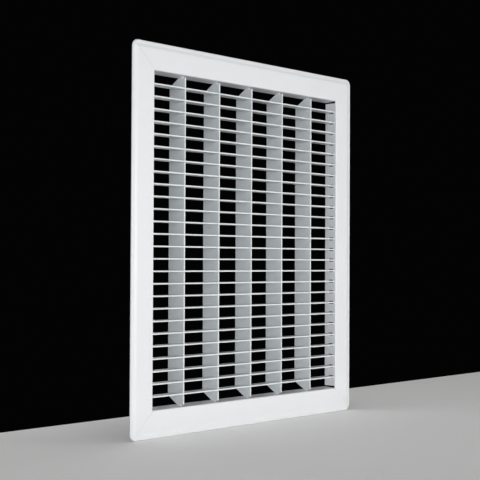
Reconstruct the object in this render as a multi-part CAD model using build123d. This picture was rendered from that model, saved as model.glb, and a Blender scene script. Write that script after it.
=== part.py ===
from build123d import *
import math
import os

# Louvred air grille for a duct opening of nominally 12 x 14 inches.
# Frame: origin at the centre of the duct opening, in the plane of the wall that the flange rests on.
# +X is to the right seen from the room, +Y goes into the duct, +Z is up. The face looks along -Y.
# All lengths are in millimetres.

INCH = 25.4

# ---- driving dimensions: the frame ----
FACE_W = 349.7                 # overall width of the flange
FACE_H = 401.0                 # overall height of the flange
FLANGE = 28.6                  # flange width, from the outer edge to the opening
SHEET = 0.9                    # thickness of the frame's steel sheet
FLANGE_RISE = 2.6              # how far the flat face stands off the wall
LIP_DROP = 1.1                 # how far the border along the outer edge lies behind the flat face
LIP_BORDER = 3.7               # width of that border
LIP_SLOPE = 20.0               # degrees of the soft step between the border and the flat face
LIP_FOOT_R = 2.0               # radius between the border and the step
LIP_TOP_R = 6.0                # radius between the step and the flat face
RIM_R = 1.4                    # radius between the border and the straight rim
CORNER_R = 7.5                 # outer corner radius, seen from the front
FOLD_R = 1.5                   # outer radius of the fold at the opening
NECK_DEPTH = 15.6              # depth of the neck behind the flat face
NECK_LEAN = 4.0                # degrees that each neck wall leans in towards its rear edge
UPRIGHT_END_GAP = 2.4          # gap left at each end of the side neck walls, at the opening's corners
ACROSS_END_GAP = 0.3           # the same gap at the ends of the top and bottom neck walls
END_GAP_START = 1.8            # depth behind the flat face where these gaps start
SLOT_CUT = 6.0                 # length of the cutters that make the slots through a neck wall
MITRE_GAP = 0.14               # hairline between two frame members at a mitre

# ---- driving dimensions: the lattice ----
BLADE_COUNT = 26
BLADE_PITCH = 0.5 * INCH
BLADE_T = 1.5                  # blade thickness
BLADE_DEPTH = 12.0             # blade size along the air flow
BLADE_NOSE_R = 0.4             # softened front edges of a blade
EDGE_R = 0.25                  # softened edges elsewhere on the blades and bars
BAR_COUNT = 5
BAR_PITCH = 2.0 * INCH
BAR_T = 1.5                    # support bar thickness
BAR_DEPTH = 23.6               # support bar size along the air flow
BAR_SHOULDER = 1.8             # a bar's front edge stops this far short of the neck wall
BAR_CUT = 10.0                 # height of the slanting cut at each end of a bar's rear edge
RECESS = 2.0                   # the lattice's front edges sit this far behind the flat face
FIT = 0.12                     # clearance on each side where a blade or tab enters a slot
TAB_OUT = 0.5                  # how far a tab stands out behind the neck wall

# Depths behind the flat face, where the tabs pass through the neck walls.
BLADE_TAB_FRONT = 3.9
BLADE_TAB_REAR = 10.6
BLADE_SLOT_H = 3.6
BLADE_SLOT_MARGIN = 0.5
BAR_TAB_FRONT = 6.2
BAR_TAB_REAR = 10.8

# ---- driving dimensions: the corner plates behind the mitres ----
PLATE_T = 1.2
PLATE_OUTER = 9.5              # distance of the plate's outer edge from the frame's outer edge
PLATE_LEG_W = 16.5
PLATE_LEG_L = 42.0
PLATE_CORNER_R = 2.0
WELD_R = 2.4                   # radius of the dimple that a spot weld leaves
WELD_DIP = 0.25

# ---- planes and sizes that follow ----
OPEN_W = FACE_W - 2 * FLANGE
OPEN_H = FACE_H - 2 * FLANGE
FACE_Y = -FLANGE_RISE
LATTICE_Y = FACE_Y + RECESS
LEAN = math.tan(math.radians(NECK_LEAN))
LIP_BREAK = LIP_BORDER + LIP_DROP / math.tan(math.radians(LIP_SLOPE))
BLADE_Z = [(i - (BLADE_COUNT - 1) / 2) * BLADE_PITCH for i in range(BLADE_COUNT)]
BAR_X = [(i - (BAR_COUNT - 1) / 2) * BAR_PITCH for i in range(BAR_COUNT)]


def neck_lean_at(depth):
    """How far a neck wall has leaned into the opening at a depth behind the flat face."""
    return depth * LEAN


def offset_point(before, corner, after, distance):
    """The corner of a path moved to its left by the sheet's thickness (ends have one neighbour)."""
    normals = []
    for start, end in ((before, corner), (corner, after)):
        if start is None or end is None:
            continue
        run = math.hypot(end[0] - start[0], end[1] - start[1])
        normals.append((-(end[1] - start[1]) / run, (end[0] - start[0]) / run))
    if len(normals) == 1:
        return (corner[0] + distance * normals[0][0], corner[1] + distance * normals[0][1])
    sum_x = normals[0][0] + normals[1][0]
    sum_y = normals[0][1] + normals[1][1]
    scale = 2 * distance / (sum_x ** 2 + sum_y ** 2)
    return (corner[0] + scale * sum_x, corner[1] + scale * sum_y)


def folded_sheet_section():
    """Section of a frame member: x is the distance in from the outer edge, y the depth from the wall."""
    outside = [
        (0, 0),
        (0, FACE_Y + LIP_DROP),
        (LIP_BORDER, FACE_Y + LIP_DROP),
        (LIP_BREAK, FACE_Y),
        (FLANGE, FACE_Y),
        (FLANGE + neck_lean_at(NECK_DEPTH), FACE_Y + NECK_DEPTH),
    ]
    padded = [None] + outside + [None]
    inside = [
        offset_point(padded[i], padded[i + 1], padded[i + 2], SHEET) for i in range(len(outside))
    ]
    outer_radii = [RIM_R, LIP_FOOT_R, LIP_TOP_R, FOLD_R]
    inner_radii = [RIM_R - SHEET, LIP_FOOT_R + SHEET, LIP_TOP_R - SHEET, FOLD_R - SHEET]
    outer_line = FilletPolyline(*outside, radius=outer_radii)
    inner_line = FilletPolyline(*inside, radius=inner_radii)
    rim_end = Line(outside[0], inside[0])
    neck_end = Line(outside[-1], inside[-1])
    return make_face(outer_line.edges() + inner_line.edges() + [rim_end, neck_end])


def blade_slots(half_height):
    """Cutters for the rounded slots that take the blade tabs, along a side member."""
    length = BLADE_TAB_REAR - BLADE_TAB_FRONT + 2 * BLADE_SLOT_MARGIN
    middle = FACE_Y + (BLADE_TAB_FRONT + BLADE_TAB_REAR) / 2
    slot = extrude(Rot(Z=90) * SlotOverall(length, BLADE_SLOT_H), SLOT_CUT / 2, both=True)
    return [Pos(z, middle, -half_height + FLANGE) * slot for z in BLADE_Z]


def bar_slots(half_height):
    """Cutters for the straight slots that take the bar tabs, along the top or bottom member."""
    length = BAR_TAB_REAR - BAR_TAB_FRONT + 2 * FIT
    middle = FACE_Y + (BAR_TAB_FRONT + BAR_TAB_REAR) / 2
    slot = Box(BAR_T + 2 * FIT, length, SLOT_CUT)
    return [Pos(x, middle, -half_height + FLANGE) * slot for x in BAR_X]


def frame_member(length, half_height, slots, end_gap):
    """One folded member, lying along X with its outer edge at z = -half_height."""
    section = folded_sheet_section()
    lip = section & Pos(CORNER_R / 2, 0) * Rectangle(CORNER_R, 4 * CORNER_R)
    rest = section - Pos(CORNER_R / 2, 0) * Rectangle(CORNER_R, 4 * CORNER_R)

    # The section's x becomes world Z and its y becomes world Y.
    def stand(face, x):
        plane = Plane(origin=(x, 0, -half_height), x_dir=(0, 0, 1), z_dir=(-1, 0, 0))
        return plane * face

    half = length / 2
    straight = half - CORNER_R
    body = extrude(stand(rest, half), length) + extrude(stand(lip, straight), 2 * straight)
    for side in (-1, 1):
        axis = Axis((side * straight, 0, -half_height + CORNER_R), (0, 1, 0))
        body += revolve(stand(lip, side * straight), axis, -45 * side)

    inset = MITRE_GAP / math.sqrt(2)
    reach = 2 * FLANGE
    with_mitres = make_face(
        Polyline(
            (-half + inset, -half_height),
            (half - inset, -half_height),
            (half - inset - reach, -half_height + reach),
            (-half + inset + reach, -half_height + reach),
            close=True,
        )
    )
    upright = Plane(origin=(0, 0, 0), x_dir=(1, 0, 0), z_dir=(0, -1, 0))
    body &= extrude(upright * with_mitres, 2 * NECK_DEPTH, both=True)

    # Behind the fold, each end of the neck wall stops short of the opening's corner.
    neck_half = half - FLANGE - end_gap
    for side, outward in ((-1, Align.MAX), (1, Align.MIN)):
        cutter = Box(FLANGE, 2 * NECK_DEPTH, FLANGE / 2, align=(outward, Align.MIN, Align.CENTER))
        body -= Pos(side * neck_half, FACE_Y + END_GAP_START, -half_height + FLANGE) * cutter
    return body - slots


def blade():
    """One blade at z = 0: a flat strip with a tab at each end for the side walls' slots."""
    rear = RECESS + BLADE_DEPTH
    side = [(d, OPEN_W / 2 - neck_lean_at(d) - FIT) for d in (RECESS, BLADE_TAB_FRONT)]
    tab_x = OPEN_W / 2 + SHEET + TAB_OUT
    side += [(BLADE_TAB_FRONT, tab_x), (BLADE_TAB_REAR, tab_x)]
    side += [(d, OPEN_W / 2 - neck_lean_at(d) - FIT) for d in (BLADE_TAB_REAR, rear)]
    right = [(x, FACE_Y + d) for d, x in side]
    left = [(-x, y) for x, y in reversed(right)]
    strip = extrude(make_face(Polyline(*right, *left, close=True)), BLADE_T / 2, both=True)
    long_edges = strip.edges().filter_by(Axis.X).group_by(Axis.Y)
    strip = fillet(long_edges[0], BLADE_NOSE_R)
    tail = strip.edges().filter_by(Axis.X).group_by(Axis.Y)[-1]
    return fillet(tail, EDGE_R)


def support_bar():
    """One support bar at x = 0: a strip on edge, notched for the blades, with a tab at each end."""
    shoulder = OPEN_H / 2 - BAR_SHOULDER
    tab_z = OPEN_H / 2 + SHEET + TAB_OUT
    heel = OPEN_H / 2 - neck_lean_at(BAR_TAB_REAR) - FIT
    end = [
        (RECESS, shoulder),
        (BAR_TAB_FRONT, shoulder),
        (BAR_TAB_FRONT, tab_z),
        (BAR_TAB_REAR, tab_z),
        (BAR_TAB_REAR, heel),
        (RECESS + BAR_DEPTH, OPEN_H / 2 - BAR_CUT),
    ]
    top = [(FACE_Y + d, z) for d, z in end]
    bottom = [(y, -z) for y, z in reversed(top)]
    outline = make_face(Polyline(*top, *bottom, close=True))
    bar = extrude(Plane.YZ * outline, BAR_T / 2, both=True)
    bar = fillet(bar.faces().filter_by(Axis.X).edges(), EDGE_R)
    notch = Box(2 * BAR_T, 2 * (BLADE_DEPTH + FIT), BLADE_T + 2 * FIT)
    return bar - [Pos(0, LATTICE_Y, z) * notch for z in BLADE_Z]


def corner_plate():
    """L-shaped plate spot-welded behind the mitre at the lower left corner."""
    x0 = -FACE_W / 2 + PLATE_OUTER
    z0 = -FACE_H / 2 + PLATE_OUTER
    outline = make_face(
        Polyline(
            (x0, z0),
            (x0 + PLATE_LEG_L, z0),
            (x0 + PLATE_LEG_L, z0 + PLATE_LEG_W),
            (x0 + PLATE_LEG_W, z0 + PLATE_LEG_W),
            (x0 + PLATE_LEG_W, z0 + PLATE_LEG_L),
            (x0, z0 + PLATE_LEG_L),
            close=True,
        )
    )
    facing_wall = Plane(origin=(0, FACE_Y + SHEET, 0), x_dir=(1, 0, 0), z_dir=(0, -1, 0))
    plate = extrude(facing_wall * outline, -PLATE_T)
    plate = fillet(plate.edges().filter_by(Axis.Y), PLATE_CORNER_R)
    mid = PLATE_LEG_W / 2
    back_y = FACE_Y + SHEET + PLATE_T
    dimple = Rot(X=90) * Cylinder(WELD_R, 2 * WELD_DIP)
    for along in (mid, PLATE_LEG_L - mid):
        plate -= Pos(x0 + along, back_y, z0 + mid) * dimple
    plate -= Pos(x0 + mid, back_y, z0 + PLATE_LEG_L - mid) * dimple
    return plate


def write(name, shape):
    """Write one node's STEP file."""
    export_step(shape, f"parts/{name}.step")


os.makedirs("parts", exist_ok=True)

across = frame_member(FACE_W, FACE_H / 2, bar_slots(FACE_H / 2), ACROSS_END_GAP)
upright = frame_member(FACE_H, FACE_W / 2, blade_slots(FACE_W / 2), UPRIGHT_END_GAP)
write("frame_bottom", across)
write("frame_top", Rot(Y=180) * across)
write("frame_left", Rot(Y=90) * upright)
write("frame_right", Rot(Y=-90) * upright)

for number, z in enumerate(BLADE_Z, start=1):
    write(f"blade_{number:02d}", Pos(0, 0, z) * blade())

for number, x in enumerate(BAR_X, start=1):
    write(f"support_bar_{number}", Pos(x, 0, 0) * support_bar())

plate = corner_plate()
flipped = plate.mirror(Plane.YZ)
write("corner_plate_bottom_left", plate)
write("corner_plate_bottom_right", flipped)
write("corner_plate_top_right", Rot(Y=180) * plate)
write("corner_plate_top_left", Rot(Y=180) * flipped)
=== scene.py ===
import math
import bpy
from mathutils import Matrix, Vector


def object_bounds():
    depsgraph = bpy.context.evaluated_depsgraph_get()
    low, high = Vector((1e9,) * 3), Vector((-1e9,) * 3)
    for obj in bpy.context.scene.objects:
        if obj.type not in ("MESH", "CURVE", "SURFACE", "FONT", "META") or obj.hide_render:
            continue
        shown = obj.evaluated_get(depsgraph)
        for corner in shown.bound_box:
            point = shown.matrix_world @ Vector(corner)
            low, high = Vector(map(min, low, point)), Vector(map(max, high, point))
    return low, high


# A louvred air grille of powder-coated steel, standing on its lower rim. Lengths are in metres.

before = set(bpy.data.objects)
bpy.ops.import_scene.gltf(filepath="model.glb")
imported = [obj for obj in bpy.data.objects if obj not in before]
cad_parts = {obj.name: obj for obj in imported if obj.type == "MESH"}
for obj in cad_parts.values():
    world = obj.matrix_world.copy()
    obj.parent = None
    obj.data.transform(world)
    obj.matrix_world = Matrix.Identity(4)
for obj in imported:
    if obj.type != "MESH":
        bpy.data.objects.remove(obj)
cad_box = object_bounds()
LOW, HIGH = Vector(cad_box[0]), Vector(cad_box[1])
MIDDLE = (LOW + HIGH) / 2

# ---- the camera ----
CAMERA_PLACE = (-0.9017, -0.8427, -0.0219)
CAMERA_YAW = 46.377            # degrees to the right of straight at the face
CAMERA_PITCH = 1.129           # degrees above level
CAMERA_ROLL = -0.27
LENS = 83.75                   # on a 36 mm sensor
SENSOR = 36.0

# ---- the stage and the lights ----
FLOOR_WIDTH = 1.5
FLOOR_FRONT = 0.64             # how far the floor reaches in front of the wall plane
FLOOR_BEHIND = 0.14
FLOOR_COLOUR = (0.80, 0.80, 0.79, 1)
FLOOR_ROUGHNESS = 0.8
WORLD_COLOUR = (0.001, 0.001, 0.001, 1)
LIGHT_DISTANCE = 4.0

# Each soft box: azimuth (0 in front of the face, 90 on its right), elevation, width and height, watts.
SOFT_BOXES = {
    "front": (-10, 1.5, 2.9, 0.9, 94),
    "front_right": (40, 5, 1.5, 1.1, 20),
    "front_left": (-40, -6, 1.5, 0.9, 20),
    "left": (-65, 5, 1.3, 0.9, 21),
    "behind": (180, 0, 1.5, 1.1, 65),
    "behind_right": (150, 0, 1.5, 1.1, 20),
}
LEFT_TINT = (0.90, 0.97, 1.0)         # the boxes on the left are a little cooler than the others
# The lamps overhead: how far in front of the wall plane, width and depth, watts.
OVERHEAD_HEIGHT = 2.2
TOP_LAMP = (0.20, 1.5, 1.0, 4.0)
FLOOR_LAMP = (0.25, 1.5, 0.9, 22)

# ---- the powder coat ----
# The corner plates, behind the flange, get a greyer coat than the rest: painted shade, so that they stand
# apart from the flange where the light leaves their edges without shadow.
COATS = {
    "frame": (0.868, 0.868, 0.882, 1),
    # The blades and support bars get a cooler, less red coat than the frame: a painted cast of the cool
    # shade on their sides.
    "blade": (0.845, 0.87, 0.885, 1),
    "support_bar": (0.845, 0.87, 0.885, 1),
    "corner_plate": (0.66, 0.68, 0.70, 1),
}
PAINT_IOR = 1.5
CLEAR_COAT = 0.15
CLEAR_COAT_ROUGHNESS = 0.22
TINT_SCALE = 35                # clouds in the colour, a few centimetres across
TINT_DETAIL = 4
TINT_DARKEST = 0.97            # their darkest colour, as a share of the coat's colour
PEEL_SCALE = 700               # orange peel, a millimetre or two across
PEEL_DETAIL = 2
ROUGHNESS = (0.36, 0.50)
PEEL_STRENGTH = 0.15
PEEL_DEPTH = 0.0002


def area_light(name, place, target, size, watts):
    """A rectangular soft box at a place, turned to face a target. The camera doesn't see it."""
    lamp = bpy.data.lights.new(name, "AREA")
    lamp.shape = "RECTANGLE"
    lamp.size, lamp.size_y = size
    lamp.energy = watts
    box = bpy.data.objects.new(name, lamp)
    box.location = place
    box.rotation_euler = (Vector(target) - Vector(place)).to_track_quat("-Z", "Y").to_euler()
    box.visible_camera = False
    bpy.context.collection.objects.link(box)
    return box


def camera():
    """The camera at the reference view."""
    lens = bpy.data.cameras.new("camera")
    lens.lens = LENS
    lens.sensor_width = SENSOR
    lens.clip_start = 0.01
    lens.clip_end = 50
    body = bpy.data.objects.new("camera", lens)
    body.location = CAMERA_PLACE
    body.rotation_euler = [math.radians(a) for a in (90 + CAMERA_PITCH, CAMERA_ROLL, -CAMERA_YAW)]
    bpy.context.collection.objects.link(body)
    bpy.context.scene.camera = body


def powder_coat(name, colour):
    """White powder coat: a satin surface with a fine orange-peel texture."""
    material = bpy.data.materials.new(name)
    material.use_nodes = True
    nodes, links = material.node_tree.nodes, material.node_tree.links
    shader = nodes["Principled BSDF"]
    shader.inputs["Metallic"].default_value = 0.0
    shader.inputs["IOR"].default_value = PAINT_IOR
    shader.inputs["Coat Weight"].default_value = CLEAR_COAT
    shader.inputs["Coat Roughness"].default_value = CLEAR_COAT_ROUGHNESS
    place = nodes.new("ShaderNodeTexCoord")

    tint = nodes.new("ShaderNodeTexNoise")
    tint.inputs["Scale"].default_value = TINT_SCALE
    tint.inputs["Detail"].default_value = TINT_DETAIL
    links.new(place.outputs["Object"], tint.inputs["Vector"])
    ramp = nodes.new("ShaderNodeValToRGB")
    ramp.color_ramp.elements[0].color = tuple(TINT_DARKEST * c for c in colour[:3]) + (1,)
    ramp.color_ramp.elements[1].color = colour
    links.new(tint.outputs["Fac"], ramp.inputs["Fac"])
    links.new(ramp.outputs["Color"], shader.inputs["Base Color"])

    peel = nodes.new("ShaderNodeTexNoise")
    peel.inputs["Scale"].default_value = PEEL_SCALE
    peel.inputs["Detail"].default_value = PEEL_DETAIL
    links.new(place.outputs["Object"], peel.inputs["Vector"])
    gloss = nodes.new("ShaderNodeMapRange")
    gloss.inputs["To Min"].default_value, gloss.inputs["To Max"].default_value = ROUGHNESS
    links.new(peel.outputs["Fac"], gloss.inputs["Value"])
    links.new(gloss.outputs["Result"], shader.inputs["Roughness"])
    bump = nodes.new("ShaderNodeBump")
    bump.inputs["Strength"].default_value = PEEL_STRENGTH
    bump.inputs["Distance"].default_value = PEEL_DEPTH
    links.new(peel.outputs["Fac"], bump.inputs["Height"])
    links.new(bump.outputs["Normal"], shader.inputs["Normal"])
    return material


def floor():
    """A pale studio table top that ends a little way behind the grille."""
    half, front, rear = FLOOR_WIDTH / 2, -FLOOR_FRONT, FLOOR_BEHIND
    corners = [(x, y, LOW.z) for x, y in ((-half, front), (half, front), (half, rear), (-half, rear))]
    mesh = bpy.data.meshes.new("floor")
    mesh.from_pydata(corners, [], [(0, 1, 2, 3)])
    plane = bpy.data.objects.new("floor", mesh)
    bpy.context.collection.objects.link(plane)
    material = bpy.data.materials.new("floor")
    material.use_nodes = True
    shader = material.node_tree.nodes["Principled BSDF"]
    shader.inputs["Base Color"].default_value = FLOOR_COLOUR
    shader.inputs["Roughness"].default_value = FLOOR_ROUGHNESS
    mesh.materials.append(material)


def lights():
    """Soft boxes round the grille at about its own height, two lamps overhead, and a dark room."""
    world = bpy.data.worlds.new("world")
    world.use_nodes = True
    world.node_tree.nodes["Background"].inputs["Color"].default_value = WORLD_COLOUR
    bpy.context.scene.world = world
    for name, (azimuth, elevation, width, height, watts) in SOFT_BOXES.items():
        a, e = math.radians(azimuth), math.radians(elevation)
        way = Vector((math.sin(a) * math.cos(e), -math.cos(a) * math.cos(e), math.sin(e)))
        box = area_light(name, MIDDLE + way * LIGHT_DISTANCE, MIDDLE, (width, height), watts)
        if name.endswith("left"):
            box.data.color = LEFT_TINT

    # The second lamp overhead lights only the floor, so that it reads as pale as it is.
    over = {}
    for name, (ahead, width, depth, watts) in (("top", TOP_LAMP), ("floor_lamp", FLOOR_LAMP)):
        over[name] = area_light(name, (0, -ahead, OVERHEAD_HEIGHT), (0, -ahead, 0), (width, depth), watts)
    floor_only = bpy.data.collections.new("floor_only")
    floor_only.objects.link(bpy.data.objects["floor"])
    over["floor_lamp"].light_linking.receiver_collection = floor_only


coats = {kind: powder_coat(kind, colour) for kind, colour in COATS.items()}
for name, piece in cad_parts.items():
    kind = next(kind for kind in coats if name.startswith(kind))
    for slot in piece.material_slots:
        slot.material = coats[kind]

floor()
lights()
camera()
bpy.context.scene.view_settings.view_transform = "Standard"
